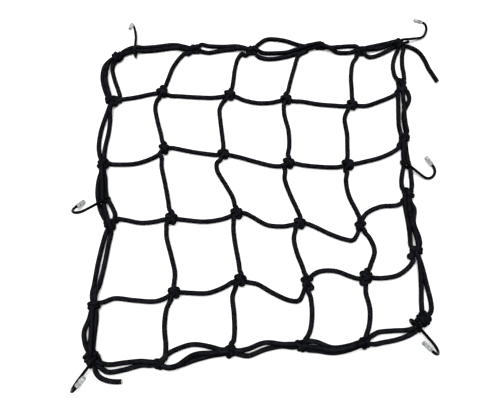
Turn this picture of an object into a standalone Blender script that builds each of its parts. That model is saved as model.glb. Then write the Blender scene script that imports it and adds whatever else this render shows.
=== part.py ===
# Elastic cargo net laid out flat: a knotted mesh of braided cord with a bundled border,
# two loose cord ends and six wire hooks with clear sleeves on their tips.
# Tables are in millimetres; the model is in metres, +Z up, and lies on z = 0.

import math

import bmesh
import bpy
import numpy as np
from mathutils import Matrix, Vector

MM = 0.001

# Cord and knots
CORD = 5.8                 # diameter of the braided elastic cord
CORD_BEVEL = 1             # gives the net's tubes six sides
ROUND_BEVEL = 2            # gives hooks and loose ends eight sides
CURVE_DETAIL = 24          # points worked out for each given point of a smooth curve
FINE_STEP = 1.5            # spacing of the points that a cord's curve is worked out at
CORD_SAG = 1.2             # how far a straight stretch of tube may stray from that curve
KNOT_RISE = 2.0            # how far a cord climbs from the floor into a knot
END_IN_KNOT = 4.0          # where a cord stops, from the middle of its knot
ABREAST = 3.1              # half the spacing of two strands side by side
STACKED = 5.3              # height of the strand that lies on top of two others
EYE_LIFT = 2.1             # how far the eye's lower leg lifts the strands over it
EYE_REACH = 9.0            # how far along the border that lift is felt
STATIONS = (0.15, 0.5, 0.85)   # where a span's bows are given, as shares of its length

# Hooks
WIRE = 3.7                 # coated wire
HOOK_LENGTH = 45.0         # eye's closed end to the far side of the bend, on the centre line
BEND = 21.0                # width of the bend, on the centre line
BEND_TURN = math.radians(165)
BEND_STEPS = 8             # straight pieces round the bend
TIP = 13.5                 # straight tip past the bend
EYE_TOP = 11.5             # height of the eye at its closed end
EYE_STEPS = 6              # straight pieces round the eye's closed end
EYE_LENGTH = 16.0          # the part of the hairpin that holds the border
STUB = 18.0                # lower leg, from the closed end to the cut end of the wire
SHAFT_IN_BORDER = 0.4      # share of the straight shaft that lies over the border
EYE_POINTS = 11            # points of a hook that lie in the border: the eye and the shaft's start
EYE_ROOM = 1.3             # how much wider than the wire its six-sided way through the cords is
SLEEVE_OUTER = 5.8
SLEEVE_BORE = 4.5
SLEEVE_SIDES = 10
SLEEVE = 13.0
SLEEVE_PAST_TIP = 1.5      # the sleeve reaches past the end of the wire

# Moves the tables' origin to the middle of the finished part
CENTRE = (14.9, 14.2)

# Knots, a row for each line across the net from the top edge (A) to the bottom edge (F);
# in a row, (x, y) from the left border (0) to the right border (5).
KNOTS = {
    "A": ((-185, 211), (-79, 224), (2, 222), (93, 229), (157, 222), (209, 232)),
    "B": ((-188, 141), (-120, 155), (-28, 151), (49, 144), (138, 136), (207, 165)),
    "C": ((-191, 49), (-113, 70), (-35, 63), (50, 50), (127, 48), (203, 83)),
    "D": ((-175, -33), (-99, -26), (-17, -19), (62, -32), (138, -36), (201, 5)),
    "E": ((-185, -135), (-91, -119), (-12, -104), (69, -106), (140, -100), (205, -69)),
    "F": ((-182, -195), (-105, -201), (-23, -186), (58, -182), (134, -177), (204, -151)),
}

# Down cords 1 to 4: for each span from A to F, how far the cord bows to the right
# of the straight line at the start, the middle and the end.
DOWN_BOWS = {
    1: ((-8, -9, -3), (-8, -8, -2), (-5, -3, -1), (-7, -2, 1), (-3, -3, 5)),
    2: ((-11, -9, -2), (-8, -8, -2), (-11, -6, 0), (-5, -3, 0), (-5, -1, 2)),
    3: ((-11, -12, -4), (-3, 2, 0), (-7, -6, 1), (-7, -8, -2), (4, 10, 7)),
    4: ((-6, -8, -2), (-6, -4, -1), (-4, -7, 1), (6, 14, 5), (0, 5, 3)),
}

# Across cords B to E: for each span from left to right, how far the cord bows upwards.
ACROSS_BOWS = {
    "B": ((0, 0, 1), (-4, -5, -3), (-3, -9, -4), (-1, -3, -3), (-6, -10, -8)),
    "C": ((-4, -11, -7), (3, -1, -2), (-1, -5, -6), (-1, -4, -4), (-4, -9, -7)),
    "D": ((5, -2, -1), (-2, -8, -5), (1, -9, -5), (-1, -12, -18), (8, 7, -3)),
    "E": ((3, -2, -6), (-3, -8, -2), (-3, -15, -23), (9, 10, -1), (-7, -15, -8)),
}

# Border strands. Columns: side, span, place in the bundle at the knots (-1 and 1 on the
# floor, 0 on top), bow at the start, the middle and the end, lift in the middle.
# Bows are to the right on the left and right sides, and upwards on the top and bottom.
BORDER = (
    ("left", 0, -1, -13, -17, -9, 0),
    ("left", 0, 0, -9, -13, -4, 4.6),
    ("left", 0, 1, -3, 0, 9, 0),
    ("left", 1, -1, -4, -9, -7, 0),
    ("left", 1, 1, 3, 2, 0, 0),
    ("left", 2, -1, -7, -12, -9, 0),
    ("left", 2, 0, -2, -4, -1, 4.5),
    ("left", 2, 1, 4, 2, 7, 0),
    ("left", 3, -1, -3, -6, -6, 0),
    ("left", 3, 1, 4, 4, 1, 0),
    ("left", 4, -1, -6, -11, -6, 0),
    ("left", 4, 0, -1, -2, -2, 3.0),
    ("left", 4, 1, 5, 4, 3, 0),
    ("bottom", 0, -1, -11, -10, -5, 0),
    ("bottom", 0, 1, -5, -2, 2, 0),
    ("bottom", 1, 1, 9, 14, 4, 0),
    ("bottom", 1, 0, -2, 4, 0, 2.0),
    ("bottom", 1, -1, -8, -5, -5, 0),
    ("bottom", 2, 1, 1, 6, 3, 0),
    ("bottom", 2, -1, -7, -1, -4, 0),
    ("bottom", 3, 1, 6, -1, 3, 0),
    ("bottom", 3, 0, 2, -4, 0, 4.5),
    ("bottom", 3, -1, -4, -9, -5, 0),
    ("bottom", 4, 1, 4, 0, -2, 0),
    ("bottom", 4, -1, -7, -11, -9, 0),
    ("right", 0, -1, -2, -9, -5, 0),
    ("right", 0, 1, 6, 4, 5, 0),
    ("right", 1, -1, -3, -6, -5, 0),
    ("right", 1, 0, 3, -1, 0, 4.6),
    ("right", 1, 1, 9, 3, 4, 0),
    ("right", 2, -1, -3, -3, -7, 0),
    ("right", 2, 1, 4, 5, 6, 0),
    ("right", 3, -1, -4, -6, -8, 0),
    ("right", 3, 0, 1, -1, -1, 4.6),
    ("right", 3, 1, 5, 4, 6, 0),
    ("right", 4, -1, 0, 1, 0, 0),
    ("right", 4, 1, 6, 9, 11, 0),
    ("top", 0, -1, 6, 6, 3, 0),
    ("top", 0, 1, 12, 12, 9, 0),
    ("top", 1, 1, 8, 6, 6, 0),
    ("top", 1, -1, -3, -1, 0, 0),
    ("top", 2, 1, 12, 15, 2, 0),
    ("top", 2, 0, -3, -6, -2, 1.0),
    ("top", 2, -1, -13, -14, -5, 0),
    ("top", 3, 1, 3, 4, 6, 0),
    ("top", 3, -1, -3, -6, -3, 0),
    ("top", 4, 1, 5, 5, 5, 0),
    ("top", 4, 0, 0, 0, 1, 4.6),
    ("top", 4, -1, -11, -10, -5, 0),
)

SIDES = {
    "left": [(row, 0) for row in "ABCDEF"],
    "right": [(row, 5) for row in "ABCDEF"],
    "top": [("A", column) for column in range(6)],
    "bottom": [("F", column) for column in range(6)],
}

# Knot lumps by where they are: width and height
KNOT_SIZES = {"inside": (15.0, 11.0), "edge": (16.0, 12.0), "corner": (19.0, 12.5)}
KNOT_LOBES = 4
KNOT_RIDGE = 0.15          # how far a lobe stands out of the lump, as a share
KNOT_TWIST = 1.6           # turn of the lobes from pole to pole, radians
KNOT_TILT = math.radians(62)   # how far the lump's poles lean over
KNOT_SINK = 1.0            # how much of a lump's underside is cut off flat
KNOT_TURN = 45             # heading of the poles, degrees; every other knot is square to it
KNOT_RINGS = 4             # bands of a lump from pole to pole

# Hooks. Columns: node ending, closed end of the eye x and y, heading of the shaft,
# its climb, roll of the bend out of the floor (degrees), side that the bend turns to.
HOOKS = (
    ("top_left", -160, 211, 94, -17.5, 84, 1),
    ("top_right", 209, 233.5, 17.5, -15.5, 45, 1),
    ("left", -178, 0, 220, 19, -39, -1),
    ("right", 196, 50.5, -36, -13.5, 0, 1),
    ("bottom_left", -174, -192, 234, -6, 67, 1),
    ("bottom_right", 188.5, -152, -49.5, -6, 54, -1),
)

# Loose cord ends: the points of their routes, from the knot outwards
TAILS = {
    "top_right": ((215, 228, 5), (222, 229, 4), (230, 226, 3), (238, 219, 3), (244, 207, 3),
                  (248, 194, 3), (254, 181, 3), (258, 172, 3)),
    "bottom_left": ((-177.2, -204, 5.2), (-176.5, -210, 4), (-171.5, -216, 3),
                    (-164, -219.5, 3), (-155, -221, 3), (-146, -221, 3)),
}
TAIL_STEP = 6.0            # spacing of the points on a loose end
SEAT_POINTS = 2            # points of a loose end that lie in its seat in the knot
SEAT_ROOM = 0.9            # how much wider than the cord that seat is

MATERIALS = {              # colour, roughness, metallic
    "braided_cord": ((0.010, 0.011, 0.014, 1), 0.75, 0.0),
    "coated_wire": ((0.008, 0.008, 0.009, 1), 0.35, 0.0),
    "clear_sleeve": ((0.72, 0.73, 0.72, 1), 0.30, 0.0),
}


def clear_scene():
    for item in list(bpy.data.objects):
        bpy.data.objects.remove(item, do_unlink=True)


def material(name):
    found = bpy.data.materials.get(name)
    if found:
        return found
    colour, roughness, metallic = MATERIALS[name]
    made = bpy.data.materials.new(name)
    made.use_nodes = True
    shader = made.node_tree.nodes["Principled BSDF"]
    shader.inputs["Base Color"].default_value = colour
    shader.inputs["Roughness"].default_value = roughness
    shader.inputs["Metallic"].default_value = metallic
    made.diffuse_color = colour
    return made


def add_object(name, data, material_name=None):
    item = bpy.data.objects.new(name, data)
    bpy.context.collection.objects.link(item)
    if material_name:
        data.materials.append(material(material_name))
    return item


def make_guide(item):
    item.hide_render = True
    item.display_type = "WIRE"


def to_metres(point):
    x, y, z = point
    return ((x - CENTRE[0]) * MM, (y - CENTRE[1]) * MM, z * MM)


# Evenly spaced points on a smooth curve through the given ones.
def smooth_route(points, step):
    given = np.array(points, float)
    chords = np.linalg.norm(np.diff(given, axis=0), axis=1)
    marks = np.concatenate(([0.0], np.cumsum(np.sqrt(chords))))
    slopes = np.gradient(given, marks, axis=0)
    where = np.linspace(0.0, marks[-1], CURVE_DETAIL * len(given))
    left = np.clip(np.searchsorted(marks, where, side="right") - 1, 0, len(given) - 2)
    width = marks[left + 1] - marks[left]
    t = ((where - marks[left]) / width)[:, None]
    width = width[:, None]
    curve = ((2 * t**3 - 3 * t**2 + 1) * given[left]
             + (t**3 - 2 * t**2 + t) * width * slopes[left]
             + (3 * t**2 - 2 * t**3) * given[left + 1]
             + (t**3 - t**2) * width * slopes[left + 1])
    run = np.concatenate(([0.0], np.cumsum(np.linalg.norm(np.diff(curve, axis=0), axis=1))))
    count = max(2, round(run[-1] / step) + 1)
    even = np.linspace(0.0, run[-1], count)
    return np.stack([np.interp(even, run, curve[:, axis]) for axis in range(3)], axis=1)


# Keeps the points of a curve that its bends need, within a tolerance.
def thin_route(curve, tolerance):
    chord = curve[-1] - curve[0]
    length = np.linalg.norm(chord)
    share = np.clip((curve - curve[0]) @ chord / length**2, 0.0, 1.0)[:, None]
    stray = np.linalg.norm(curve - curve[0] - share * chord, axis=1)
    far = int(stray.argmax())
    if stray[far] <= tolerance:
        return curve[[0, -1]]
    return np.concatenate((thin_route(curve[:far + 1], tolerance)[:-1],
                           thin_route(curve[far:], tolerance)))


# A curve object with one round tube for each route.
def tubes(name, routes, diameter, bevel, material_name=None):
    data = bpy.data.curves.new(name, "CURVE")
    data.dimensions = "3D"
    data.bevel_depth = diameter / 2 * MM
    data.bevel_resolution = bevel
    data.use_fill_caps = True
    for route in routes:
        spline = data.splines.new("POLY")
        spline.points.add(len(route) - 1)
        spline.use_smooth = True
        for point, place in zip(spline.points, route):
            point.co = (*to_metres(place), 1.0)
    return add_object(name, data, material_name)


# The same tubes as a mesh, for a Boolean.
def mesh_tubes(name, routes, diameter, bevel, material_name=None):
    curve = tubes(name + "_curve", routes, diameter, bevel)
    bpy.context.view_layer.update()
    data = bpy.data.meshes.new_from_object(curve)
    bpy.data.objects.remove(curve)
    return add_object(name, data, material_name)


def boolean(item, other, operation, self_crossing=False):
    modifier = item.modifiers.new(operation.lower(), "BOOLEAN")
    modifier.operation = operation
    modifier.solver = "EXACT"
    modifier.use_self = self_crossing
    modifier.object = other
    make_guide(other)


def knot(row, column):
    return np.array(KNOTS[row][column], float)


# Points of one cord or strand between two knots.
def span_route(first, last, bows, place=0, on_top=0.0, lift=0.0, spread=ABREAST):
    start = knot(*first)
    run = knot(*last) - start
    along = run / np.linalg.norm(run)
    beside = np.array((-along[1], along[0]))
    flat = [start + along * END_IN_KNOT + beside * place * spread]
    for share, bow in zip(STATIONS, bows):
        flat.append(start + run * share + beside * bow)
    flat.append(start + run - along * END_IN_KNOT + beside * place * spread)
    ends = KNOT_RISE + on_top
    near = lift + (ends - lift) * 0.5
    heights = (ends, near, lift, near, ends)
    return [(x, y, CORD / 2 + height) for (x, y), height in zip(flat, heights)]


# The strands climb over the lower legs of the hooks' eyes.
def lift_over_eyes(route):
    raised = route.copy()
    for _, x, y, heading, _, _, _ in HOOKS:
        middle = np.array((x + math.cos(math.radians(heading)) * EYE_LENGTH / 2,
                           y + math.sin(math.radians(heading)) * EYE_LENGTH / 2))
        away = np.linalg.norm(route[:, :2] - middle, axis=1)
        raised[:, 2] += EYE_LIFT * np.exp(-(away / EYE_REACH) ** 2)
    return raised


def cord_routes():
    rows = "ABCDEF"
    routes = []
    for column, spans in DOWN_BOWS.items():
        for index, bows in enumerate(spans):
            ends = (rows[index], column), (rows[index + 1], column)
            routes.append(span_route(*ends, bows))
    for row, spans in ACROSS_BOWS.items():
        for index, bows in enumerate(spans):
            routes.append(span_route((row, index), (row, index + 1), bows))
    for side, index, place, first, middle, last, lift in BORDER:
        ends = SIDES[side][index], SIDES[side][index + 1]
        on_top = STACKED if place == 0 else 0.0
        routes.append(span_route(*ends, (first, middle, last), place, on_top, lift))
    curves = [lift_over_eyes(smooth_route(route, FINE_STEP)) for route in routes]
    return [thin_route(curve, CORD_SAG) for curve in curves]


def knot_kind(row, column):
    edges = (row in "AF") + (column in (0, 5))
    return ("inside", "edge", "corner")[edges]


# One ridged lump, flat underneath, its lobes wound round a leaning axis.
def add_lump(bm, row, column):
    width, height = KNOT_SIZES[knot_kind(row, column)]
    turn = math.radians(KNOT_TURN + 90 * ((ord(row) + column) % 2))
    made = bmesh.ops.create_uvsphere(bm, u_segments=2 * KNOT_LOBES, v_segments=KNOT_RINGS,
                                     radius=1.0)
    lump = made["verts"]
    for vert in lump:
        angle = math.atan2(vert.co.y, vert.co.x) * KNOT_LOBES + vert.co.z * KNOT_TWIST
        vert.co *= 1.0 + KNOT_RIDGE * math.cos(angle)
    lean = Matrix.Rotation(turn, 4, "Z") @ Matrix.Rotation(KNOT_TILT, 4, "X")
    size = Matrix.Diagonal((width / 2, width / 2, height / 2, 1.0))
    x, y = knot(row, column)
    for vert in lump:
        vert.co = size @ (lean @ vert.co)
        vert.co = to_metres(vert.co + Vector((x, y, height / 2 - KNOT_SINK)))


def make_lumps():
    bm = bmesh.new()
    for row in KNOTS:
        for column in range(6):
            add_lump(bm, row, column)
    everything = bm.verts[:] + bm.edges[:] + bm.faces[:]
    bmesh.ops.bisect_plane(bm, geom=everything, plane_co=(0, 0, 0), plane_no=(0, 0, -1),
                           clear_outer=True)
    bmesh.ops.holes_fill(bm, edges=bm.edges[:], sides=0)
    bmesh.ops.recalc_face_normals(bm, faces=bm.faces)
    data = bpy.data.meshes.new("lumps")
    bm.to_mesh(data)
    bm.free()
    return add_object("lumps", data)


def hook_frame(heading, climb, roll, side):
    turn, rise, lean = (math.radians(value) for value in (heading, climb, roll))
    ahead = np.array((math.cos(turn), math.sin(turn), 0.0))
    left = np.array((-math.sin(turn), math.cos(turn), 0.0))
    up = np.array((0.0, 0.0, 1.0))
    shaft = ahead * math.cos(rise) + up * math.sin(rise)
    above = np.cross(shaft, left)
    opening = left * side * math.cos(lean) + above * math.sin(lean)
    return ahead, shaft, opening


# Centre line of one hook: the cut end, under the border, round the closed end,
# back over it, along the shaft, round the bend and to the tip.
def hook_route(x, y, heading, climb, roll, side):
    ahead, shaft, opening = hook_frame(heading, climb, roll, side)
    foot = np.array((x, y, 0.0))
    up = np.array((0.0, 0.0, 1.0))
    low = WIRE / 2
    loop = (EYE_TOP - low) / 2
    points = [foot + ahead * STUB + up * low, foot + ahead * (STUB + loop) / 2 + up * low]
    for angle in np.linspace(0, math.pi, EYE_STEPS + 1):
        points.append(foot + ahead * loop * (1 - math.sin(angle))
                      + up * (low + loop * (1 - math.cos(angle))))
    straight = HOOK_LENGTH - BEND / 2 - loop
    points += [points[-1] + shaft * straight * share for share in (SHAFT_IN_BORDER, 1.0)]
    middle = points[-1] + opening * BEND / 2
    for angle in np.linspace(0, BEND_TURN, BEND_STEPS + 1)[1:]:
        points.append(middle + (shaft * math.sin(angle) - opening * math.cos(angle)) * BEND / 2)
    tip_way = shaft * math.cos(BEND_TURN) + opening * math.sin(BEND_TURN)
    points.append(points[-1] + tip_way * TIP)
    return np.array(points), tip_way


def make_sleeve(name, tip, tip_way):
    length = SLEEVE
    middle = tip + tip_way * (SLEEVE_PAST_TIP - length / 2)
    turn = Vector(tip_way).to_track_quat("Z", "Y").to_matrix().to_4x4()
    bm = bmesh.new()
    inner, outer = SLEEVE_BORE / 2 * MM, SLEEVE_OUTER / 2 * MM
    profile = [(inner, -length / 2), (outer, -length / 2), (outer, length / 2), (inner, length / 2)]
    verts = [bm.verts.new((radius, 0.0, height * MM)) for radius, height in profile]
    edges = [bm.edges.new((verts[i], verts[(i + 1) % 4])) for i in range(4)]
    bmesh.ops.spin(bm, geom=verts + edges, cent=(0, 0, 0), axis=(0, 0, 1), dvec=(0, 0, 0),
                   angle=2 * math.pi, steps=SLEEVE_SIDES, use_merge=True, use_duplicate=False)
    bmesh.ops.recalc_face_normals(bm, faces=bm.faces)
    bmesh.ops.transform(bm, matrix=Matrix.Translation(to_metres(middle)) @ turn, verts=bm.verts)
    data = bpy.data.meshes.new(name)
    bm.to_mesh(data)
    bm.free()
    data.shade_smooth()
    return add_object(name, data, "clear_sleeve")


def make_net(hook_routes, tail_routes):
    net = mesh_tubes("net", cord_routes(), CORD, CORD_BEVEL, "braided_cord")
    boolean(net, make_lumps(), "UNION", self_crossing=True)
    eyes = [route[:EYE_POINTS] for route in hook_routes]
    clear_eyes = mesh_tubes("eye_clearance", eyes, WIRE + EYE_ROOM, CORD_BEVEL)
    boolean(net, clear_eyes, "DIFFERENCE", self_crossing=True)
    seats = [route[:SEAT_POINTS] for route in tail_routes]
    clear_tails = mesh_tubes("tail_clearance", seats, CORD + SEAT_ROOM, ROUND_BEVEL)
    boolean(net, clear_tails, "DIFFERENCE")
    return net


def main():
    clear_scene()
    hook_routes = []
    for name, *numbers in HOOKS:
        route, tip_way = hook_route(*numbers)
        hook_routes.append(route)
        tubes("hook_" + name, [route], WIRE, ROUND_BEVEL, "coated_wire")
        make_sleeve("sleeve_" + name, route[-1], tip_way)
    tail_routes = []
    for name, points in TAILS.items():
        route = smooth_route(points, TAIL_STEP)
        tail_routes.append(route)
        tubes("tail_" + name, [route], CORD, ROUND_BEVEL, "braided_cord")
    make_net(hook_routes, tail_routes)


main()
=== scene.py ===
# An elastic cargo net laid out on a white studio floor: a knotted mesh of braided cord,
# a border of bundled strands, two cut cord ends, and six coated wire hooks with clear sleeves.
import math

import bmesh
import bpy
import numpy as np
from mathutils import Matrix, Vector


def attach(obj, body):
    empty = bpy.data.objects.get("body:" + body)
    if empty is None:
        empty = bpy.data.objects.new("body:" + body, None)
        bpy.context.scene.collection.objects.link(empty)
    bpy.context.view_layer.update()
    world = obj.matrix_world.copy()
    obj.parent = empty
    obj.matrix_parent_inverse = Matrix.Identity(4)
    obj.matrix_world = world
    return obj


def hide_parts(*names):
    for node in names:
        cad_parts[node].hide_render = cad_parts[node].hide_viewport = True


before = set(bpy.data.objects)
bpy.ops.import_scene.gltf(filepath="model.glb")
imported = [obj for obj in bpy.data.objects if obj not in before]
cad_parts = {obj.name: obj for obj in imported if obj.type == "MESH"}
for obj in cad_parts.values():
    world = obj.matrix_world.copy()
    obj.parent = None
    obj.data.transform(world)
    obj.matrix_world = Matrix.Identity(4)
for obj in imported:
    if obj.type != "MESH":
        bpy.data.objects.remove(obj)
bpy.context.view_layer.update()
print("frame loaded:", len(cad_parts), "nodes")

mm = 0.001
netMiddle = np.array((14.9, 14.2, 0.0))   # from the tables' origin to the part's, mm
curveSteps = 24                           # of a smooth curve between two given points

cord = {
    "diameter": 5.8,          # mm
    "ringStep": 0.85,         # mm, four rings to a stitch of the braid
    "ringsPerStitch": 4,
    "stitchesRound": 8,
    "relief": 0.1,            # how far a stitch stands out, as a share of the radius
}
restHeight = cord["diameter"] / 2     # of a cord's middle line on the floor, mm


def toMetres(points):
    return (np.asarray(points, float)[..., :3] - netMiddle) * mm


def addObject(name, data):
    item = bpy.data.objects.new(name, data)
    bpy.context.collection.objects.link(item)
    return item


def finishPiece(item, surface, slot, *nodes):
    item.data.materials.clear()
    item.data.materials.append(surface)
    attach(item, "root")
    if nodes:
        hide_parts(*nodes)
    return item


# Even points on a smooth curve through the given ones. Columns: x, y, z, thickness.
def smoothLine(points, step, closed=False, multiple=1):
    given = np.asarray(points, float)
    lead = 3 if closed else 0
    if closed:
        given = np.concatenate((given[-lead:], given, given[:lead + 1]))
    chords = np.linalg.norm(np.diff(given[:, :3], axis=0), axis=1)
    marks = np.concatenate(([0.0], np.cumsum(np.sqrt(chords))))
    slopes = np.gradient(given, marks, axis=0)
    last = len(given) - 1 - lead
    where = np.concatenate([np.linspace(marks[i], marks[i + 1], curveSteps, endpoint=False)
                            for i in range(lead, last)] + [[marks[last]]])
    left = np.clip(np.searchsorted(marks, where, side="right") - 1, 0, len(given) - 2)
    width = (marks[left + 1] - marks[left])[:, None]
    t = (where - marks[left])[:, None] / width
    curve = ((2 * t**3 - 3 * t**2 + 1) * given[left]
             + (t**3 - 2 * t**2 + t) * width * slopes[left]
             + (3 * t**2 - 2 * t**3) * given[left + 1]
             + (t**3 - t**2) * width * slopes[left + 1])
    run = np.concatenate(([0.0], np.cumsum(np.linalg.norm(np.diff(curve[:, :3], axis=0), axis=1))))
    count = max(2, round(run[-1] / step / multiple) * multiple + (0 if closed else 1))
    even = np.linspace(0.0, run[-1], count, endpoint=not closed)
    return np.stack([np.interp(even, run, curve[:, k]) for k in range(curve.shape[1])], axis=1)


# Lifts a line where its tube would dip into the floor
def offFloor(line):
    line[:, 2] = np.maximum(line[:, 2], line[:, 3] * restHeight * (1 + cord["relief"]))
    return line


# A curve object with a round tube for each line, made a mesh.
def tubeMesh(name, lines, diameter, sides, closed=False):
    data = bpy.data.curves.new(name + "Curve", "CURVE")
    data.dimensions = "3D"
    data.bevel_depth = diameter / 2 * mm
    data.bevel_resolution = sides // 2 - 2
    for line in lines:
        spline = data.splines.new("POLY")
        spline.points.add(len(line) - 1)
        places = np.concatenate((toMetres(line), np.ones((len(line), 1))), axis=1)
        spline.points.foreach_set("co", places.ravel())
        spline.points.foreach_set("radius", line[:, 3])
        spline.use_cyclic_u = closed
    curve = addObject(name + "Curve", data)
    bpy.context.view_layer.update()
    mesh = bpy.data.meshes.new_from_object(curve)
    mesh.name = name
    bpy.data.objects.remove(curve)
    if not closed:
        bm = bmesh.new()
        bm.from_mesh(mesh)
        bmesh.ops.holes_fill(bm, edges=bm.edges[:], sides=0)
        bm.to_mesh(mesh)
        bm.free()
    return mesh


# Braided cord: stitches in a diamond pattern, raised out of a tube. The attribute
# stitchHeight and the map braidMap (both counted in stitches) lead the material.
def braidedCord(name, lines, closed=False):
    sides = 2 * cord["stitchesRound"]
    mesh = tubeMesh(name, lines, cord["diameter"], sides, closed)
    spots = np.empty(len(mesh.vertices) * 3)
    mesh.vertices.foreach_get("co", spots)
    spots = spots.reshape(-1, sides, 3)
    middles = np.concatenate([toMetres(line) for line in lines])[:, None, :]
    ring = np.concatenate([np.arange(len(line)) for line in lines])
    height = np.cos(2 * np.pi * ring / cord["ringsPerStitch"])[:, None] * \
        np.cos(np.pi * np.arange(sides))[None, :]
    spots = middles + (spots - middles) * (1 + cord["relief"] * height)[:, :, None]
    mesh.vertices.foreach_set("co", spots.ravel())
    raised = mesh.attributes.new("stitchHeight", "FLOAT", "POINT")
    raised.data.foreach_set("value", height.ravel())
    corner = np.empty(len(mesh.loops), int)
    mesh.loops.foreach_get("vertex_index", corner)
    starts = np.empty(len(mesh.polygons), int)
    totals = np.empty(len(mesh.polygons), int)
    mesh.polygons.foreach_get("loop_start", starts)
    mesh.polygons.foreach_get("loop_total", totals)
    owner = np.repeat(np.arange(len(totals)), totals)
    side, along = corner % sides, ring[corner // sides]
    lengths = np.concatenate([np.full(len(line), len(line)) for line in lines])[corner // sides]
    topSide = np.zeros(len(totals), int)
    np.maximum.at(topSide, owner, side)
    topRing = np.zeros(len(totals), int)
    np.maximum.at(topRing, owner, along)
    isWall = (totals == 4)[owner]
    side = np.where(isWall & (side == 0) & (topSide[owner] == sides - 1), sides, side)
    along = np.where(isWall & (along == 0) & (topRing[owner] == lengths - 1), lengths, along)
    while mesh.uv_layers:         # the curve's own map
        mesh.uv_layers.remove(mesh.uv_layers[0])
    cordMap = mesh.uv_layers.new(name="braidMap")
    pairs = np.stack((along / cord["ringsPerStitch"], side / 2), axis=1)
    cordMap.data.foreach_set("uv", pairs.ravel())
    mesh.polygons.foreach_set("use_smooth", np.ones(len(totals), bool))
    mesh.update()
    print(name, "rings", len(ring), "triangles", int((totals - 2).sum()))
    return addObject(name, mesh)


view = {
    "elevation": 70,          # degrees above the floor
    "distance": 0.715,        # metres
    "lens": 40.3,             # mm, on a 36 mm sensor
}


def makeCamera():
    data = bpy.data.cameras.new("netCamera")
    data.sensor_width = 36
    data.lens = view["lens"]
    data.clip_start = 0.01
    item = addObject("netCamera", data)
    back = Vector((0, -math.cos(math.radians(view["elevation"])),
                   math.sin(math.radians(view["elevation"]))))
    item.location = Vector(toMetres((0, 0, 0))) + back * view["distance"]
    item.rotation_mode = "QUATERNION"
    item.rotation_quaternion = (-back).to_track_quat("-Z", "Y")
    bpy.context.scene.camera = item


makeCamera()
print("camera set")


# A colour as shaders take it, from its sRGB code
def fromHex(text):
    parts = [int(text[i:i + 2], 16) / 255 for i in (1, 3, 5)]
    return (*(p / 12.92 if p <= 0.04045 else ((p + 0.055) / 1.055) ** 2.4 for p in parts), 1.0)


def newSurface(name):
    surface = bpy.data.materials.new(name)
    surface.use_nodes = True
    return surface, surface.node_tree.nodes["Principled BSDF"]


# Adds a node with its settings and links. An input is given by its name, with _ for a space,
# or as i and its number; it is a value or the socket that feeds it.
def addNode(surface, kind, settings=None, **inputs):
    tree = surface.node_tree
    node = tree.nodes.new("ShaderNode" + kind)
    for key, value in (settings or {}).items():
        setattr(node, key, value)
    for key, value in inputs.items():
        socket = node.inputs[int(key[1:])] if key[0] == "i" and key[1:].isdigit() else \
            node.inputs[key.replace("_", " ")]
        if isinstance(value, bpy.types.NodeSocket):
            tree.links.new(value, socket)
        else:
            socket.default_value = value
    return node


def link(surface, output, target):
    surface.node_tree.links.new(output, target)


# A texture's scale for features of this size: features a metre, to the nearest ten
def scaleOf(millimetres):
    return round(1 / (millimetres * mm), -1)


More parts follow.
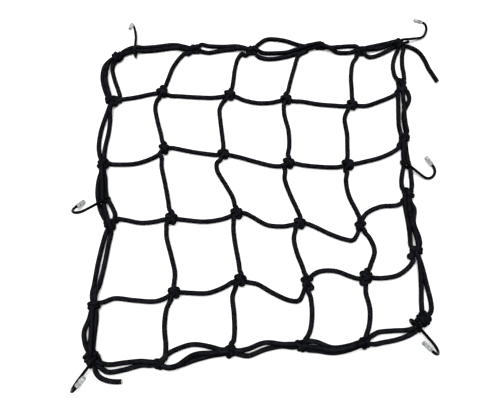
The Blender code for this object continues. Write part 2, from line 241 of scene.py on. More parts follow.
# Braided polyester over rubber: dull, near-black stitches with a painted highlight on the crown,
# painted shade between them and on the sides and underside, and with worn patches about 5 mm
# across.
# The yarns of a stitch lean one way in every other row; they and the 0.7 mm fuzz are drawn
# about twice as coarse as real ones, which are too fine to show.
def braidedPolyester():
    surface, shader = newSurface("braidedPolyester")
    stitch = addNode(surface, "Attribute", {"attribute_name": "stitchHeight"})
    # The crowns of the stitches are painted lighter as a highlight, the hollows between them
    # darker as shade.
    litCrownMask = addNode(surface, "MapRange", Value=stitch.outputs["Fac"], From_Min=-0.4, From_Max=1.0)
    place = addNode(surface, "TexCoord")
    patches = addNode(surface, "TexNoise", Vector=place.outputs["Object"], Scale=scaleOf(5.26),
                      Detail=3.0)
    worn = addNode(surface, "MapRange", Value=patches.outputs["Fac"], From_Min=0.38, From_Max=0.62,
                   To_Min=0.35, To_Max=1.0)
    fuzz = addNode(surface, "TexNoise", Vector=place.outputs["Object"], Scale=scaleOf(0.714),
                   Detail=2.0)
    # Painted shade in the hollows between the stitches (near-black), painted highlight on their
    # crowns (grey)
    depth = addNode(surface, "Mix", {"data_type": "RGBA"}, i0=litCrownMask.outputs["Result"],
                    i6=fromHex("#010102"), i7=fromHex("#33353c"))
    # The worn patches (real wear) darken the painted stitch shade and highlight further.
    wearAndStitchShade = addNode(surface, "Mix", {"data_type": "RGBA"}, i0=worn.outputs["Result"],
                   i6=fromHex("#030305"), i7=depth.outputs[2])
    # Painted shade by facing: the sides and underside are darkened towards near-black and the
    # upper side stays lighter, as where light from above falls.
    facing = addNode(surface, "NewGeometry")
    upward = addNode(surface, "SeparateXYZ", Vector=facing.outputs["Normal"])
    paintedTopLight = addNode(surface, "MapRange", Value=upward.outputs["Z"], From_Min=0.2, From_Max=1.0,
                    To_Min=0.06, To_Max=1.0)
    paintedTopLightTone = addNode(surface, "Mix", {"data_type": "RGBA"}, i0=paintedTopLight.outputs["Result"],
                        i6=fromHex("#010102"), i7=wearAndStitchShade.outputs[2])
    link(surface, paintedTopLightTone.outputs[2], shader.inputs["Base Color"])
    rough = addNode(surface, "MapRange", Value=fuzz.outputs["Fac"], To_Min=0.62, To_Max=0.88)
    link(surface, rough.outputs["Result"], shader.inputs["Roughness"])
    yarnLean, yarnTurn = 1.3, 22.0     # sideways for each stitch along; radians a stitch
    spot = addNode(surface, "UVMap", {"uv_map": "braidMap"})
    parts = addNode(surface, "SeparateXYZ", Vector=spot.outputs["UV"])
    lean = addNode(surface, "Math", {"operation": "MULTIPLY"}, i0=parts.outputs["X"],
                   i1=yarnLean)
    yarns = []
    for operation in ("ADD", "SUBTRACT"):
        phase = addNode(surface, "Math", {"operation": operation}, i0=parts.outputs["Y"],
                        i1=lean.outputs[0])
        turn = addNode(surface, "Math", {"operation": "MULTIPLY"}, i0=phase.outputs[0],
                       i1=yarnTurn)
        yarns.append(addNode(surface, "Math", {"operation": "SINE"}, i0=turn.outputs[0]))
    row = addNode(surface, "Math", {"operation": "MULTIPLY"}, i0=parts.outputs["X"],
                  i1=2 * math.pi)
    rowWave = addNode(surface, "Math", {"operation": "COSINE"}, i0=row.outputs[0])
    pick = addNode(surface, "Math", {"operation": "GREATER_THAN"}, i0=rowWave.outputs[0], i1=0.0)
    yarn = addNode(surface, "Mix", {"data_type": "FLOAT"}, i0=pick.outputs[0],
                   i2=yarns[0].outputs[0], i3=yarns[1].outputs[0])
    grain = addNode(surface, "Math", {"operation": "ADD"}, i0=yarn.outputs[0],
                    i1=fuzz.outputs["Fac"])
    bump = addNode(surface, "Bump", Strength=0.5, Distance=0.00012, Height=grain.outputs[0])
    link(surface, bump.outputs["Normal"], shader.inputs["Normal"])
    shader.inputs["IOR"].default_value = 1.5
    shader.inputs["Specular IOR Level"].default_value = 0.0
    return surface


# Cut rubber core: pale latex strands 0.8 mm thick packed side by side, dull and dusty, with
# painted shade in the gaps between them.
def latexCore():
    surface, shader = newSurface("latexCore")
    place = addNode(surface, "TexCoord")
    strands = addNode(surface, "TexVoronoi", {"feature": "DISTANCE_TO_EDGE"},
                      Vector=place.outputs["Object"], Scale=scaleOf(0.769))
    # Dark at the strands' edges: painted shade in the gaps where they meet.
    tint = addNode(surface, "ValToRGB", Fac=strands.outputs["Distance"])
    tint.color_ramp.elements[0].color = fromHex("#4c4a47")
    tint.color_ramp.elements[1].color = fromHex("#c9c6bf")
    tint.color_ramp.elements[1].position = 0.16
    link(surface, tint.outputs["Color"], shader.inputs["Base Color"])
    bump = addNode(surface, "Bump", Strength=0.6, Distance=0.0002,
                   Height=strands.outputs["Distance"])
    link(surface, bump.outputs["Normal"], shader.inputs["Normal"])
    shader.inputs["Roughness"].default_value = 0.8
    return surface


# Steel wire dipped in black PVC: smooth, half gloss, with the faint orange peel of a dipped
# coat (1.6 mm, coarser than the real one so that it shows) and rubbed places 7 mm across.
def pvcDippedSteel():
    surface, shader = newSurface("pvcDippedSteel")
    place = addNode(surface, "TexCoord")
    peel = addNode(surface, "TexNoise", Vector=place.outputs["Object"], Scale=scaleOf(1.61),
                   Detail=3.0)
    rubbed = addNode(surface, "TexNoise", Vector=place.outputs["Object"], Scale=scaleOf(7.14),
                     Detail=4.0)
    tint = addNode(surface, "ValToRGB", Fac=rubbed.outputs["Fac"])
    tint.color_ramp.elements[0].color = fromHex("#020203")
    tint.color_ramp.elements[0].position = 0.42
    tint.color_ramp.elements[1].color = fromHex("#060708")
    tint.color_ramp.elements[1].position = 0.66
    link(surface, tint.outputs["Color"], shader.inputs["Base Color"])
    rough = addNode(surface, "MapRange", Value=rubbed.outputs["Fac"], To_Min=0.12, To_Max=0.26)
    link(surface, rough.outputs["Result"], shader.inputs["Roughness"])
    bump = addNode(surface, "Bump", Strength=0.25, Distance=0.00015, Height=peel.outputs["Fac"])
    link(surface, bump.outputs["Normal"], shader.inputs["Normal"])
    shader.inputs["IOR"].default_value = 1.52
    shader.inputs["Specular IOR Level"].default_value = 0.03
    return surface


# Clear PVC sleeve, gone cloudy in patches 2 mm across, with painted grey shade between the cloudy
# patches for the dark wire showing through and for the tube's own shading.
def cloudyPvc():
    surface, shader = newSurface("cloudyPvc")
    place = addNode(surface, "TexCoord")
    hazeAndPaintedShade = addNode(surface, "TexNoise", Vector=place.outputs["Object"], Scale=scaleOf(2.38),
                   Detail=5.0)
    # The grey end of the ramp is painted shade for the wire seen through and the tube's shading;
    # the pale end is the cloudy PVC.
    tint = addNode(surface, "ValToRGB", Fac=hazeAndPaintedShade.outputs["Fac"])
    tint.color_ramp.elements[0].color = fromHex("#64686b")
    tint.color_ramp.elements[0].position = 0.35
    tint.color_ramp.elements[1].color = fromHex("#c2c5c6")
    tint.color_ramp.elements[1].position = 0.62
    link(surface, tint.outputs["Color"], shader.inputs["Base Color"])
    rough = addNode(surface, "MapRange", Value=hazeAndPaintedShade.outputs["Fac"], To_Min=0.22, To_Max=0.5)
    link(surface, rough.outputs["Result"], shader.inputs["Roughness"])
    bump = addNode(surface, "Bump", Strength=0.3, Distance=0.0002, Height=hazeAndPaintedShade.outputs["Fac"])
    link(surface, bump.outputs["Normal"], shader.inputs["Normal"])
    shader.inputs["Transmission Weight"].default_value = 0.2
    shader.inputs["IOR"].default_value = 1.5
    return surface


# White paper sweep: plain, matt, with the slightest tooth, drawn at 1 mm so that it shows.
def whitePaper():
    surface, shader = newSurface("whitePaper")
    place = addNode(surface, "TexCoord")
    tooth = addNode(surface, "TexNoise", Vector=place.outputs["Object"], Scale=scaleOf(1.11),
                    Detail=2.0)
    bump = addNode(surface, "Bump", Strength=0.05, Distance=0.0001, Height=tooth.outputs["Fac"])
    link(surface, bump.outputs["Normal"], shader.inputs["Normal"])
    shader.inputs["Base Color"].default_value = fromHex("#f7f7f7")
    shader.inputs["Roughness"].default_value = 0.9
    shader.inputs["Specular IOR Level"].default_value = 0.1
    return surface


jacket = braidedPolyester()
rubber = latexCore()
wireCoat = pvcDippedSteel()
sleevePvc = cloudyPvc()
print("materials made")


# Loose cord ends: the points of their routes, from the knot outwards
tailRoutes = {
    "top_right": ((215, 228, 5), (222, 229, 4), (230, 226, 3), (238, 219, 3), (244, 207, 3),
                  (248, 194, 3), (254, 181, 3), (258, 172, 3)),
    "bottom_left": ((-177.2, -204, 5.2), (-176.5, -210, 4), (-171.5, -216, 3),
                    (-164, -219.5, 3), (-155, -221, 3), (-146, -221, 3)),
}

# Rubber cores: radius and how far each stands out of its cut jacket, mm
coreShapes = {"top_right": (1.5, 0.2), "bottom_left": (2.1, 0.9)}
coreLength, coreRounding = 2.4, 0.35


def makeTail(name, points):
    line = offFloor(smoothLine([(*point, 1.0) for point in points], cord["ringStep"]))
    line[-2:, 3] = 0.95, 0.86     # the cut jacket draws in
    tail = braidedCord("tail_" + name + "_cord", [line])
    path = toMetres(line[::4])
    if not np.allclose(path[-1], toMetres(line[-1])):
        path = np.concatenate((path, toMetres(line[-1:])))
    finishPiece(tail, jacket, "braided_cord", "tail_" + name)
    core = makeCore(name, line)


# The rubber core, just proud of the cut jacket
def makeCore(name, line):
    radius, proud = coreShapes[name]
    end = Vector(toMetres(line[-1]))
    way = Vector(toMetres(line[-1]) - toMetres(line[-2])).normalized()
    bm = bmesh.new()
    bmesh.ops.create_cone(bm, cap_ends=True, segments=24, radius1=radius * mm,
                          radius2=radius * mm, depth=coreLength * mm)
    rim = [edge for edge in bm.edges if all(vert.co.z > 0 for vert in edge.verts)]
    bmesh.ops.bevel(bm, geom=rim, offset=coreRounding * mm, segments=2, profile=0.5,
                    affect="EDGES", material=-1)
    place = Matrix.Translation(end + way * (proud - coreLength / 2) * mm) @ \
        way.to_track_quat("Z", "Y").to_matrix().to_4x4()
    bmesh.ops.transform(bm, matrix=place, verts=bm.verts)
    mesh = bpy.data.meshes.new("core_" + name)
    bm.to_mesh(mesh)
    bm.free()
    mesh.shade_smooth()
    return finishPiece(addObject("core_" + name, mesh), rubber, "braided_cord")


for tailName, tailPoints in tailRoutes.items():
    makeTail(tailName, tailPoints)
print("loose ends laid")


# All in mm but for the turn of the bend (degrees) and the bead (a share of the radius)
hookShape = {
    "wire": 3.7, "length": 45.0, "bend": 21.0, "bendTurn": 165, "tip": 13.5,
    "eyeTop": 11.5, "stub": 18.0, "step": 0.8,
    "bead": 0.12, "beadBack": 1.8, "beadWidth": 1.1,      # dipped ends
    "roundedOver": 1.6, "endRing": 0.25,
    "sleeveOuter": 5.8, "sleeveBore": 4.3, "sleeve": 13.0, "pastTip": 1.5,
}

# Hooks: closed end of the eye x and y, heading of the shaft, its climb, roll of the bend
# out of the floor (degrees), side that the bend turns to.
hookPlaces = {
    "top_left": (-160, 211, 94, -17.5, 84, 1),
    "top_right": (209, 233.5, 17.5, -15.5, 45, 1),
    "left": (-178, 0, 220, 19, -39, -1),
    "right": (196, 50.5, -36, -13.5, 0, 1),
    "bottom_left": (-174, -192, 234, -6, 67, 1),
    "bottom_right": (188.5, -152, -49.5, -6, 54, -1),
}


def hookLine(x, y, heading, climb, roll, side):
    turn, rise, lean = (math.radians(value) for value in (heading, climb, roll))
    ahead = np.array((math.cos(turn), math.sin(turn), 0.0))
    left = np.array((-math.sin(turn), math.cos(turn), 0.0))
    up = np.array((0.0, 0.0, 1.0))
    shaft = ahead * math.cos(rise) + up * math.sin(rise)
    opening = left * side * math.cos(lean) + np.cross(shaft, left) * math.sin(lean)
    foot = np.array((x, y, 0.0))
    low = hookShape["wire"] / 2
    loop = (hookShape["eyeTop"] - low) / 2
    points = [foot + ahead * hookShape["stub"] + up * low,
              foot + ahead * (hookShape["stub"] + loop) / 2 + up * low]
    for angle in np.linspace(0, math.pi, 7):
        points.append(foot + ahead * loop * (1 - math.sin(angle))
                      + up * (low + loop * (1 - math.cos(angle))))
    radius = hookShape["bend"] / 2
    straight = hookShape["length"] - radius - loop
    points += [points[-1] + shaft * straight * share for share in (0.4, 1.0)]
    middle = points[-1] + opening * radius
    bendTurn = math.radians(hookShape["bendTurn"])
    for angle in np.linspace(0, bendTurn, 13)[1:]:
        points.append(middle + (shaft * math.sin(angle) - opening * math.cos(angle)) * radius)
    tipWay = shaft * math.cos(bendTurn) + opening * math.sin(bendTurn)
    points += [points[-1] + tipWay * hookShape["tip"] * share for share in (0.5, 1.0)]
    return np.array(points), tipWay


# A wire with dipped ends: a slight bead, then rounded off.
def makeWire(name, points):
    line = smoothLine([(*point, 1.0) for point in points], hookShape["step"])
    ring = np.arange(len(line))
    fromEnd = np.minimum(ring, ring[::-1]) * hookShape["step"]
    bead = 1 + hookShape["bead"] * np.exp(
        -((fromEnd - hookShape["beadBack"]) / hookShape["beadWidth"]) ** 2)
    over = np.minimum(fromEnd + hookShape["endRing"], hookShape["roundedOver"])
    over /= hookShape["roundedOver"]
    line[:, 3] = bead * np.sqrt(np.clip(1 - (1 - over) ** 2, 0, 1))
    mesh = tubeMesh("hook_" + name + "_wire", [line], hookShape["wire"], 16)
    mesh.shade_smooth()
    wire = addObject("hook_" + name + "_wire", mesh)
    finishPiece(wire, wireCoat, "coated_wire", "hook_" + name)


# A tube spun from its wall's outline (radius and height, mm): a little uneven, with its far
# end drawn in to a small hole
def makeSleeve(name, tip, tipWay):
    inner, outer = hookShape["sleeveBore"] / 2, hookShape["sleeveOuter"] / 2
    half = hookShape["sleeve"] / 2
    outline = ((inner, -half), (inner + 0.1, -half - 0.02), (outer - 0.25, -half),
               (outer, -half + 0.3), (outer - 0.12, -half * 0.4), (outer + 0.02, 0.0),
               (outer - 0.1, half * 0.5), (outer + 0.05, half - 0.8), (outer - 0.3, half - 0.2),
               (outer - 0.9, half), (0.9, half - 0.05), (0.5, half - 0.3), (0.8, half - 0.75),
               (inner - 0.3, half - 1.0), (inner, half - 1.3))
    bm = bmesh.new()
    verts = [bm.verts.new((radius * mm, 0, height * mm)) for radius, height in outline]
    edges = [bm.edges.new((verts[i], verts[(i + 1) % len(verts)])) for i in range(len(verts))]
    bmesh.ops.spin(bm, geom=verts + edges, cent=(0, 0, 0), axis=(0, 0, 1), dvec=(0, 0, 0),
                   angle=2 * math.pi, steps=28, use_merge=True, use_duplicate=False)
    bmesh.ops.recalc_face_normals(bm, faces=bm.faces)
    # The spin lists its faces in any order; sorted along a skew line, they stay the same
    skewLine = Vector((1.0, 7.3, 91.7))
    bm.faces.sort(key=lambda face: face.calc_center_median().dot(skewLine))
    middle = tip + tipWay * (hookShape["pastTip"] - half)
    place = Matrix.Translation(toMetres(middle)) @ \
        Vector(tipWay).to_track_quat("Z", "Y").to_matrix().to_4x4()
    bmesh.ops.transform(bm, matrix=place, verts=bm.verts)
    mesh = bpy.data.meshes.new("sleeve_" + name + "_tube")
    bm.to_mesh(mesh)
    bm.free()
    mesh.shade_smooth()
    sleeve = addObject("sleeve_" + name + "_tube", mesh)
    finishPiece(sleeve, sleevePvc, "clear_sleeve", "sleeve_" + name)


eyeLegs = []     # the lower legs of the eyes, which the border's strands lie on
for hookName, numbers in hookPlaces.items():
    hookPoints, tipWay = hookLine(*numbers)
    makeWire(hookName, hookPoints)
    makeSleeve(hookName, hookPoints[-1], tipWay)
    leg = smoothLine([(*point, 1.0) for point in hookPoints[:5]], hookShape["step"])
    leg[:, 3] = hookShape["wire"] / 2
    eyeLegs.append(leg)
print("hooks bent")


# Knots: a row for each line across the net, from the top edge (A) to the bottom edge (F);
# in a row, (x, y) in mm from the left border (0) to the right border (5).
knotPlaces = {
    "A": ((-185, 211), (-79, 224), (2, 222), (93, 229), (157, 222), (209, 232)),
    "B": ((-188, 141), (-120, 155), (-28, 151), (49, 144), (138, 136), (207, 165)),
    "C": ((-191, 49), (-113, 70), (-35, 63), (50, 50), (127, 48), (203, 83)),
    "D": ((-175, -33), (-99, -26), (-17, -19), (62, -32), (138, -36), (201, 5)),
    "E": ((-185, -135), (-91, -119), (-12, -104), (69, -106), (140, -100), (205, -69)),
    "F": ((-182, -195), (-105, -201), (-23, -186), (58, -182), (134, -177), (204, -151)),
}

# Where a span's bows are given, as shares of its length
stations = {3: (0.15, 0.5, 0.85), 5: (0.12, 0.25, 0.5, 0.75, 0.88)}

# Down cords 1 to 4, spans from A to F: bows to the right of the straight line, mm.
downBows = {
    1: ((-6.6, -9.5, -9.3, -4.3, -2.3), (-6.5, -10.0, -7.7, -3.4, -1.5),
        (-4.3, -5.5, -3.3, -1.5, -0.7), (-6.4, -6.7, -2.1, 1.8, 0.4),
        (-2.0, -4.6, -2.6, 3.7, 5.6)),
    2: ((-10.1, -12.5, -9.1, -3.2, -1.1), (-7.3, -11.3, -7.8, -3.1, -1.0),
        (-10.3, -12.4, -6.2, -0.2, 0.1), (-4.2, -5.0, -3.4, -0.5, 0.5),
        (-4.2, -6.2, -1.4, 2.1, 2.1)),
    3: ((-8.3, -15.2, -11.5, -6.2, -3.3), (-3.5, -3.0, 1.7, 1.8, -0.3),
        (-5.9, -8.5, -5.6, -0.5, 2.0), (-6.3, -9.4, -8.0, -3.3, -1.4),
        (2.4, 6.4, 10.1, 9.7, 6.0)),
    4: ((-5.0, -9.0, -8.1, -3.6, -1.4), (-5.7, -8.3, -3.7, -1.7, -0.8),
        (-2.8, -6.3, -6.6, -1.1, 1.1), (4.3, 10.1, 14.3, 8.4, 3.8),
        (-0.4, 0.4, 5.4, 4.7, 1.7)),
}

# Across cords B to E, spans from left to right: bows upwards, mm.
acrossBows = {
    "B": ((0.5, 0.4, -0.1, 0.7, 0.6), (-4.1, -4.5, -5.1, -4.9, -2.9),
          (-1.7, -5.6, -8.5, -6.3, -2.8), (-1.3, -1.0, -3.1, -3.1, -2.9),
          (-5.4, -9.0, -9.8, -9.3, -6.9)),
    "C": ((-3.2, -6.5, -10.7, -9.3, -6.3), (2.7, 1.7, -0.7, -1.9, -2.1),
          (-0.4, -1.4, -4.5, -6.9, -5.9), (-0.4, -2.3, -4.0, -4.4, -3.3),
          (-3.3, -5.5, -9.0, -8.9, -6.0)),
    "D": ((5.5, 3.4, -2.1, -2.0, -0.4), (-1.8, -4.0, -7.5, -6.5, -3.8),
          (1.8, -1.3, -8.8, -7.5, -4.0), (-0.3, -3.7, -12.1, -18.1, -18.3),
          (6.8, 9.6, 6.6, -3.2, -3.3)),
    "E": ((2.5, 4.7, -1.7, -6.9, -5.1), (-2.0, -4.7, -8.4, -4.9, -1.0),
          (-2.6, -4.4, -15.2, -23.4, -22.7), (7.9, 11.3, 10.0, 1.8, -1.7),
          (-5.7, -10.4, -15.2, -12.1, -6.2)),
}

# Border strands: side, strand, then the bows of the spans along that side, mm. Bows are to
# the right on the left and right sides, and upwards on the top and bottom.
borderStrands = {
    ("left", "outer"): ((-13.0, -17.3, -17.2, -11.5, -7.0), (-2.5, -5.1, -9.0, -8.9, -5.9),
                        (-3.3, -7.9, -11.7, -9.8, -7.1), (-3.0, -4.4, -5.6, -5.2, -5.3),
                        (-3.6, -5.4, -10.8, -8.4, -4.4)),
    ("left", "inner"): ((-3.3, -5.5, -0.5, 7.0, 9.9), (0.5, 1.2, 1.5, -0.4, 0.0),
                        (0.4, 0.5, -0.7, 5.0, 7.2), (3.4, 2.8, 2.6, 1.2, -0.8),
                        (2.4, 2.8, 1.6, 0.6, 0.9)),
    ("bottom", "outer"): ((-7.9, -13.9, -10.1, -3.5, -3.0), (-7.0, -7.0, -3.8, -2.3, -2.8),
                          (-5.4, -7.6, -1.4, 1.3, -0.4), (-4.5, -6.0, -9.6, -7.4, -4.5),
                          (-6.1, -7.7, -10.7, -10.4, -7.5)),
    ("bottom", "inner"): ((-4.0, -5.9, -2.2, 0.6, 0.6), (7.6, 11.6, 13.9, 7.1, 1.8),
                          (-1.7, 0.0, 6.1, 2.9, 2.6), (5.2, 3.9, -4.1, -3.2, -0.8),
                          (3.3, 4.7, -0.1, -5.5, -3.0)),
    ("right", "outer"): ((7.0, 5.0, 4.1, 5.4, 4.6), (9.1, 10.4, 2.2, 2.6, 4.0),
                         (2.4, 2.9, 4.8, 6.5, 5.4), (2.2, 5.6, 2.1, 5.6, 5.1),
                         (2.7, 5.2, 8.3, 11.3, 10.5)),
    ("right", "inner"): ((-0.5, -4.5, -8.9, -7.5, -3.6), (-4.4, -4.5, -5.1, -5.1, -3.5),
                         (-1.6, -2.3, -3.3, -6.6, -6.0), (-4.8, -5.3, -4.7, -5.3, -6.2),
                         (0.4, 1.2, 1.7, 0.1, -0.4)),
    ("top", "outer"): ((11.5, 12.3, 11.6, 11.6, 7.0), (8.5, 6.9, 6.3, 7.5, 5.0),
                       (10.2, 17.5, 14.5, 4.4, 1.4), (1.4, 0.5, 3.4, 6.4, 6.5),
                       (3.2, 4.2, 5.0, 5.4, 4.9)),
    ("top", "inner"): ((5.2, 6.3, 5.6, 6.0, 1.5), (-2.7, -4.3, -0.2, 2.2, 1.1),
                       (-11.5, -15.0, -13.6, -7.6, -3.6), (-1.2, -2.4, -6.3, -4.4, -1.7),
                       (-11.0, -12.3, -9.7, -5.3, -2.7)),
}

# The third strand, where the border has one: side, span, bows
thirdStrands = (
    ("left", 0, (-9.0, -12.5, -12.2, -6.8, -3.0)), ("left", 2, (-1.5, -2.2, -4.4, -4.1, -2.3)),
    ("left", 4, (-0.8, -1.2, -1.4, -1.3, -0.8)), ("bottom", 1, (-6.6, -6.5, 2.1, -0.2, -1.3)),
    ("bottom", 3, (-1.3, -3.1, -7.0, -5.3, -2.6)), ("right", 1, (1.9, 2.5, 1.4, 2.4, 3.6)),
    ("right", 3, (-1.2, -2.0, -1.2, 1.4, 1.6)), ("top", 2, (-3.5, -5.5, -6.1, -4.1, -1.4)),
    ("top", 4, (-1.2, -1.0, -0.5, 0.4, 0.8)),
)

sideKnots = {
    "left": [(row, 0) for row in "ABCDEF"],
    "right": [(row, 5) for row in "ABCDEF"],
    "top": [("A", column) for column in range(6)],
    "bottom": [("F", column) for column in range(6)],
}

# How a down cord is tied round an across cord: (x, y, z, thickness) from the knot, mm and
# share. It comes in from the top, makes three rounded ears and leaves at the lower left.
tie = np.array((
    (0.3, 9.6, 4.4, 1.00), (0.9, 3.4, 3.8, 0.94), (0.6, -1.2, 3.4, 0.90), (1.0, -5.0, 3.4, 0.92),
    (3.4, -7.0, 4.4, 0.96), (5.2, -5.0, 6.0, 0.98), (2.6, -1.6, 8.2, 0.98), (-1.8, 0.8, 8.4, 0.98),
    (-4.8, 1.4, 7.0, 0.98), (-6.2, 3.6, 5.2, 0.98), (-3.8, 5.2, 3.8, 0.96), (0.6, 4.6, 3.3, 0.92),
    (4.2, 4.8, 3.8, 0.96), (6.2, 3.0, 5.2, 0.98), (4.6, 0.2, 6.8, 0.98), (0.6, -2.8, 7.2, 0.98),
    (-3.0, -5.6, 5.8, 0.96), (-5.4, -10.2, 4.4, 1.00),
))

knotShape = {
    "tie": 0.83,              # size of a mesh tie
    "tieVaries": 0.05,        # by this share from tie to tie
    "tieTurns": 9,            # and turned by up to this, degrees
    "rightBow": 1.5,          # a cord leaves to the right if its next bow is over this, mm
    "entryEased": 0.45,       # an edge tie's second point takes this share of its entry
    "halfWidth": 6.1,         # of a wrap round the bundle, on its centre line, mm
    "halfHeight": 3.7,
    "middle": 5.8,            # height of the wraps' axis
    "pitch": 4.3,
    "drawnIn": 0.8,           # the first and last wraps, as a share of the middle ones
    "tuck": 0.25,             # how far out its end stays when it is tucked in
    "thickness": 0.86,        # the cord is stretched thin there
    "endThickness": 0.6,      # and thinner still where it ends inside a knot
    "acrossHeight": 4.3,      # of an across cord inside a mesh tie, mm
    "acrossCord": 0.85,       # its thickness there
    "pinchedStrand": 0.76,    # thickness of a border strand inside a knot
    "pinchedThird": 0.7,
    "pinch": 2.1,             # strands lie this far off the bundle's middle
    "rise": 1.9,              # how far a bundle is lifted by the wraps under it
    "reach": 9.0,             # and how far along it that is felt
}

laying = {
    "squeeze": 0.14,          # how much an eye of a hook thins the strands in it
    "squeezeReach": 7.0,      # mm along the strand
    "sinkIn": 0.92,           # crossing strands press into each other by the rest
    "easeRings": 5,           # rings that a climb over another strand takes
}

# Ties that hold the border's bundle: shift right and up in mm, size along and across the
# border, and how far along it the mesh cord comes in, mm
edgeTies = {
    ("A", 1): (2.7, 0.0, 0.90, 0.76, -11.0), ("A", 2): (0.5, -0.2, 0.87, 0.78, -9.5),
    ("A", 3): (6.2, 0.5, 1.10, 0.52, -24.0), ("A", 4): (0.0, -1.2, 0.62, 0.78, -9.0),
    ("B", 0): (1.2, 0.0, 0.87, 1.15, 0.0), ("C", 0): (0.6, -0.6, 0.74, 0.90, 0.0),
    ("D", 0): (0.3, -1.6, 0.80, 0.87, -5.0), ("B", 5): (0.4, 0.6, 1.30, 0.78, 10.5),
    ("C", 5): (0.5, 1.4, 0.72, 0.78, 9.5), ("D", 5): (0.1, 2.4, 0.85, 0.84, 9.5),
    ("E", 5): (-1.4, 0.0, 0.70, 0.95, 6.0), ("F", 1): (0.0, -0.4, 0.62, 0.68, 8.0),
    ("F", 2): (0.3, -1.1, 0.62, 0.86, 2.0), ("F", 3): (0.5, 1.0, 0.70, 0.78, 7.0),
    ("F", 4): (-0.3, -0.4, 0.68, 0.80, 4.0),
}
woundKnots = {("E", 0): 1.5}      # wound round instead: turns
# Corners: turns, how thick the bundle of wraps is, and how high it stands
cornerWraps = {
    ("A", 0): (2.3, 1.0, 1.0), ("A", 5): (2.5, 0.95, 1.0), ("F", 0): (4.0, 1.2, 0.76),
    ("F", 5): (3.0, 1.1, 1.0),
}


def knotAt(row, column):
    return np.array(knotPlaces[row][column], float)


# Where an edge knot's tie sits on the bundle
def tiedAt(row, column):
    return knotAt(row, column) + edgeTies.get((row, column), (0.0, 0.0))[:2]


# Points along one span at its stations, on the floor
def spanPoints(first, last, bows):
    start = knotAt(*first)
    run = knotAt(*last) - start
    along = run / np.linalg.norm(run)
    beside = np.array((-along[1], along[0]))
    return [(*(start + run * share + beside * bow), restHeight, 1.0)
            for share, bow in zip(stations[len(bows)], bows)]


# The border's direction at one of its knots, and the way into the net
def borderWay(row, column):
    side = "left" if column == 0 else "right" if column == 5 else "top" if row == "A" else "bottom"
    places = sideKnots[side]
    index = places.index((row, column))
    before, after = places[max(index - 1, 0)], places[min(index + 1, 5)]
    along = knotAt(*after) - knotAt(*before)
    along /= np.linalg.norm(along)
    inward = {"left": (1, 0), "right": (-1, 0), "top": (0, -1), "bottom": (0, 1)}[side]
    inward = np.array(inward, float)
    inward -= along * (inward @ along)
    return along, inward / np.linalg.norm(inward)


# The way into the net at one of its corners
def cornerWay(row, column):
    return np.array((1 if column == 0 else -1, -1 if row == "A" else 1)) / math.sqrt(2)


# Turns round the bundle, from the strand that arrives on the net's side to its tucked end.
# The first and last turns draw in, so that the wraps make a barrel.
def wrapPoints(place, along, inward, turns, hand, girth=1.0, lift=1.0):
    points = []
    drawnIn = knotShape["drawnIn"]
    for angle in np.arange(0.0, turns * 2 * math.pi + 0.01, math.pi / 4):
        share = angle / (2 * math.pi * turns)
        drift = (share - 0.5) * turns * knotShape["pitch"] * hand
        barrel = drawnIn + (girth - drawnIn) * math.sin(math.pi * share)
        flat = place + inward * knotShape["halfWidth"] * barrel * math.cos(angle) + along * drift
        height = (knotShape["middle"] + knotShape["halfHeight"] * math.sin(angle)) * lift
        points.append((*flat, height, knotShape["thickness"]))
    x, y, height, _ = points[-1]
    tucked = place + (np.array((x, y)) - place) * knotShape["tuck"]
    points.append((*tucked, knotShape["middle"] * lift, knotShape["endThickness"]))
    return points


# The end of a mesh cord, from the net's side to its tucked tail: wound round the bundle, or
# tied as at the crossings
def edgeTie(row, column):
    along, inward = borderWay(row, column)
    hand = 1 if (ord(row) + column) % 2 else -1
    if (row, column) in woundKnots:
        return wrapPoints(knotAt(row, column), along, inward, woundKnots[(row, column)], hand)
    *_, lengthways, crossways, entry = edgeTies[(row, column)]
    points = tie.copy()
    points[:, 0] *= lengthways * hand
    points[:, 1] *= crossways
    points[:2, 0] += entry * np.array((1.0, knotShape["entryEased"]))
    points[-1] = (0.0, -1.0, 5.0, knotShape["endThickness"])     # tucked in
    points[:, :2] = tiedAt(row, column) + points[:, :1] * along + points[:, 1:2] * inward
    return [tuple(point) for point in points]


# The tie between a down cord and an across cord, mirrored where the cord leaves to the right.
# The sines only scatter its size and turn from knot to knot.
def meshTie(row, column):
    leavesRight = downBows[column]["ABCDEF".index(row)][0] > knotShape["rightBow"]
    points = tie.copy()
    varied = 1 + knotShape["tieVaries"] * math.sin(5.3 * column + 2.9 * ord(row))
    points[:, :2] *= knotShape["tie"] * varied
    if leavesRight:
        points[:, 0] *= -1
    angle = math.radians(knotShape["tieTurns"] * math.sin(3.1 * column + 1.7 * ord(row)))
    spin = np.array(((math.cos(angle), math.sin(angle)), (-math.sin(angle), math.cos(angle))))
    points[:, :2] = points[:, :2] @ spin + knotAt(row, column)
    return [tuple(point) for point in points]


def downLine(column):
    points = edgeTie("A", column)[::-1]
    for index, bows in enumerate(downBows[column]):
        first, last = "ABCDEF"[index], "ABCDEF"[index + 1]
        points += spanPoints((first, column), (last, column), bows)
        points += meshTie(last, column) if last != "F" else edgeTie("F", column)
    return offFloor(smoothLine(points, cord["ringStep"]))


def acrossLine(row):
    points = edgeTie(row, 0)[::-1]
    for index, bows in enumerate(acrossBows[row]):
        points += spanPoints((row, index), (row, index + 1), bows)
        if index < 4:
            points.append((*knotAt(row, index + 1), knotShape["acrossHeight"],
                           knotShape["acrossCord"]))
        else:
            points += edgeTie(row, 5)
    return offFloor(smoothLine(points, cord["ringStep"]))


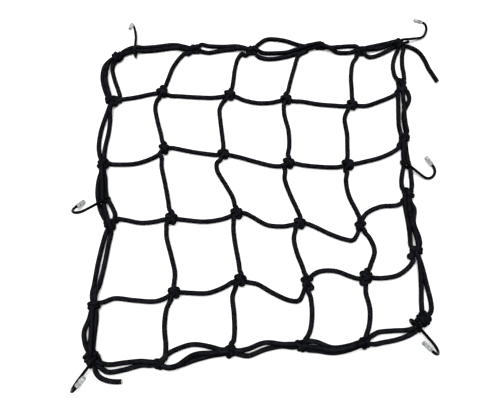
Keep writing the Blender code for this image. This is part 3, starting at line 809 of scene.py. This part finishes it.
# One strand round all four sides: the outer or the inner one
def borderLoop(which):
    sign = {"outer": -1, "inner": 1}[which]
    points = []
    for side, backwards in (("left", False), ("bottom", False), ("right", True), ("top", True)):
        spans = borderStrands[(side, which)]
        for index in (range(4, -1, -1) if backwards else range(5)):
            ends = sideKnots[side][index], sideKnots[side][index + 1]
            row, column = ends[1] if backwards else ends[0]
            isCorner = (row, column) in cornerWraps
            inward = cornerWay(row, column) if isCorner else borderWay(row, column)[1]
            place = tiedAt(row, column) + inward * sign * knotShape["pinch"]
            points.append((*place, restHeight, knotShape["pinchedStrand"]))
            middle = spanPoints(*ends, spans[index])
            points += middle[::-1] if backwards else middle
    return smoothLine(points, cord["ringStep"], closed=True, multiple=cord["ringsPerStitch"])


def thirdLine(side, index, bows):
    first, last = sideKnots[side][index], sideKnots[side][index + 1]
    start, end = ((*tiedAt(*knot), restHeight, knotShape["pinchedThird"])
                  for knot in (first, last))
    return smoothLine([start, *spanPoints(first, last, bows), end], cord["ringStep"])


edgePlaces = np.array([tiedAt(row, column) for row in "ABCDEF" for column in range(6)
                       if row in "AF" or column in (0, 5)])
eyePlaces = np.array([leg[len(leg) // 2, :2] for leg in eyeLegs])


# Lays a strand down: on the floor, lifted by the knots' wraps and over what lies there.
def layDown(line, below, closed=False):
    fromKnot = np.linalg.norm(line[:, None, :2] - edgePlaces[None], axis=2).min(axis=1)
    nearKnot = np.exp(-(fromKnot / knotShape["reach"]) ** 2)
    fromEye = np.linalg.norm(line[:, None, :2] - eyePlaces[None], axis=2).min(axis=1)
    line[:, 3] *= 1 - laying["squeeze"] * np.exp(-(fromEye / laying["squeezeReach"]) ** 2)
    radius = line[:, 3] * restHeight
    height = radius + knotShape["rise"] * nearKnot
    for laid in below:
        away = np.linalg.norm(line[:, None, :2] - laid[None, :, :2], axis=2)
        room = (radius[:, None] + laid[None, :, 3]) * laying["sinkIn"]
        over = laid[None, :, 2] + np.sqrt(np.clip(room**2 - away**2, 0, None))
        height = np.maximum(height, np.where(away < room, over, 0).max(axis=1))
    reach = laying["easeRings"]
    padded = np.pad(height, 4 * reach, mode="wrap" if closed else "edge")
    highest = np.max([np.roll(padded, shift) for shift in range(-reach, reach + 1)], axis=0)
    bell = np.exp(-(np.arange(-2 * reach, 2 * reach + 1) / reach) ** 2)
    eased = np.convolve(highest, bell / bell.sum(), mode="same")[4 * reach:-4 * reach]
    line[:, 2] = np.maximum(eased, radius * (1 + cord["relief"]))
    laid = line.copy()
    laid[:, 3] = radius
    return laid


def makeBorder():
    laid = list(eyeLegs)
    loops = {}
    for which in ("outer", "inner"):
        loops[which] = borderLoop(which)
        laid.append(layDown(loops[which], laid, closed=True)[::2])
    thirds = []
    for side, index, bows in thirdStrands:
        thirds.append(thirdLine(side, index, bows))
        laid.append(layDown(thirds[-1], laid)[::2])
    for which, line in loops.items():
        strand = braidedCord("border_" + which, [line], closed=True)
        finishPiece(strand, jacket, "braided_cord", "net")
    finishPiece(braidedCord("border_third", thirds), jacket, "braided_cord", "net")


def makeCorners():
    lines = []
    for (row, column), (turns, girth, lift) in cornerWraps.items():
        inward = cornerWay(row, column)
        along = np.array((-inward[1], inward[0]))
        points = wrapPoints(knotAt(row, column), along, inward, turns, 1, girth, lift)
        points.insert(0, (*knotAt(row, column), knotShape["middle"] * lift,
                          knotShape["endThickness"]))
        lines.append(offFloor(smoothLine(points, cord["ringStep"])))
    finishPiece(braidedCord("corner_wraps", lines), jacket, "braided_cord", "net")


makeBorder()
print("border laid")
makeCorners()
finishPiece(braidedCord("down_cords", [downLine(column) for column in downBows]),
            jacket, "braided_cord", "net")
finishPiece(braidedCord("across_cords", [acrossLine(row) for row in acrossBows]),
            jacket, "braided_cord", "net")
print("mesh tied")


studio = {
    "floorSize": 6.0,                  # metres
    "floorDrop": 0.0002,               # below the net, metres
    "sky": 0.4,                        # strength of the white surround
    "overhead": 49.0,                  # watts
    "overheadSize": 1.5,               # metres
    "overheadPlace": (-0.25, 0.1, 1.7),
    "overheadTilt": -8,                # degrees
}


def makeStudio():
    bm = bmesh.new()
    bmesh.ops.create_grid(bm, x_segments=1, y_segments=1, size=studio["floorSize"] / 2)
    bmesh.ops.translate(bm, verts=bm.verts, vec=(0, 0, -studio["floorDrop"]))
    mesh = bpy.data.meshes.new("paperSweep")
    bm.to_mesh(mesh)
    bm.free()
    floor = addObject("paperSweep", mesh)
    mesh.materials.append(whitePaper())
    data = bpy.data.lights.new("overheadSoftbox", "AREA")
    data.energy = studio["overhead"]
    data.size = studio["overheadSize"]
    lamp = addObject("overheadSoftbox", data)
    lamp.location = studio["overheadPlace"]
    lamp.rotation_euler = (0.0, math.radians(studio["overheadTilt"]), 0.0)
    world = bpy.data.worlds.new("whiteSurround")
    world.use_nodes = True
    world.node_tree.nodes["Background"].inputs["Color"].default_value = (1, 1, 1, 1)
    world.node_tree.nodes["Background"].inputs["Strength"].default_value = studio["sky"]
    bpy.context.scene.world = world
    bpy.context.scene.view_settings.view_transform = "Standard"


makeStudio()
print("studio lit")
